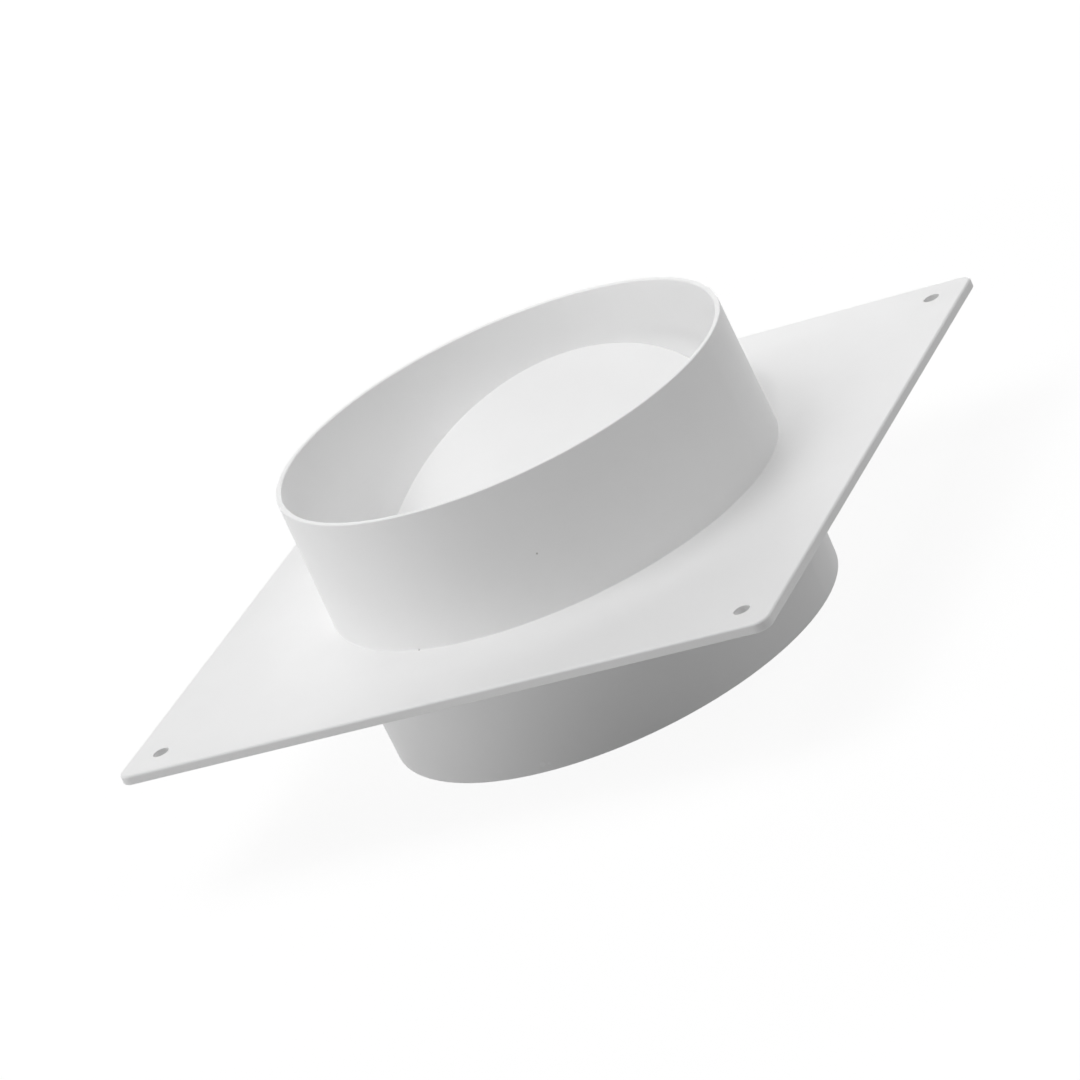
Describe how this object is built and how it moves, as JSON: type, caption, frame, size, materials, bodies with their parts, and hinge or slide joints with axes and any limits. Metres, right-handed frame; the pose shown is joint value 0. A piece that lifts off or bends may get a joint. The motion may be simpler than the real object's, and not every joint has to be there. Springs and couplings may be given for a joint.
{
  "type": "backdraft wall vent",
  "caption": "Square plastic wall plate with a tapered round duct spigot on each face and an off-centre hinged flap inside that lets air out and falls shut against backdraft.",
  "frame": {"origin": "centre of the rear spigot's rim, on the duct's axis, where the vent stands", "axes": "+Z along the duct from the wall side to the room side, +X along the flap's hinge, +Y towards the top when it is fixed to a wall"},
  "size_m": [0.225, 0.225, 0.092],
  "materials": {
    "plate_plastic": "satin moulded white plastic",
    "flap_plastic": "satin moulded white plastic"
  },
  "bodies": {
    "plate": {"wall_plate": "plate_plastic"},
    "flap": {"backdraft_flap": "flap_plastic"}
  },
  "joints": [
    {"name": "flap_hinge", "type": "hinge", "parent": "plate", "child": "flap", "pos_m": [0, 0.0118, 0.0463], "axis": [1, 0, 0], "range_deg": [-34.69, 45.31]}
  ]
}
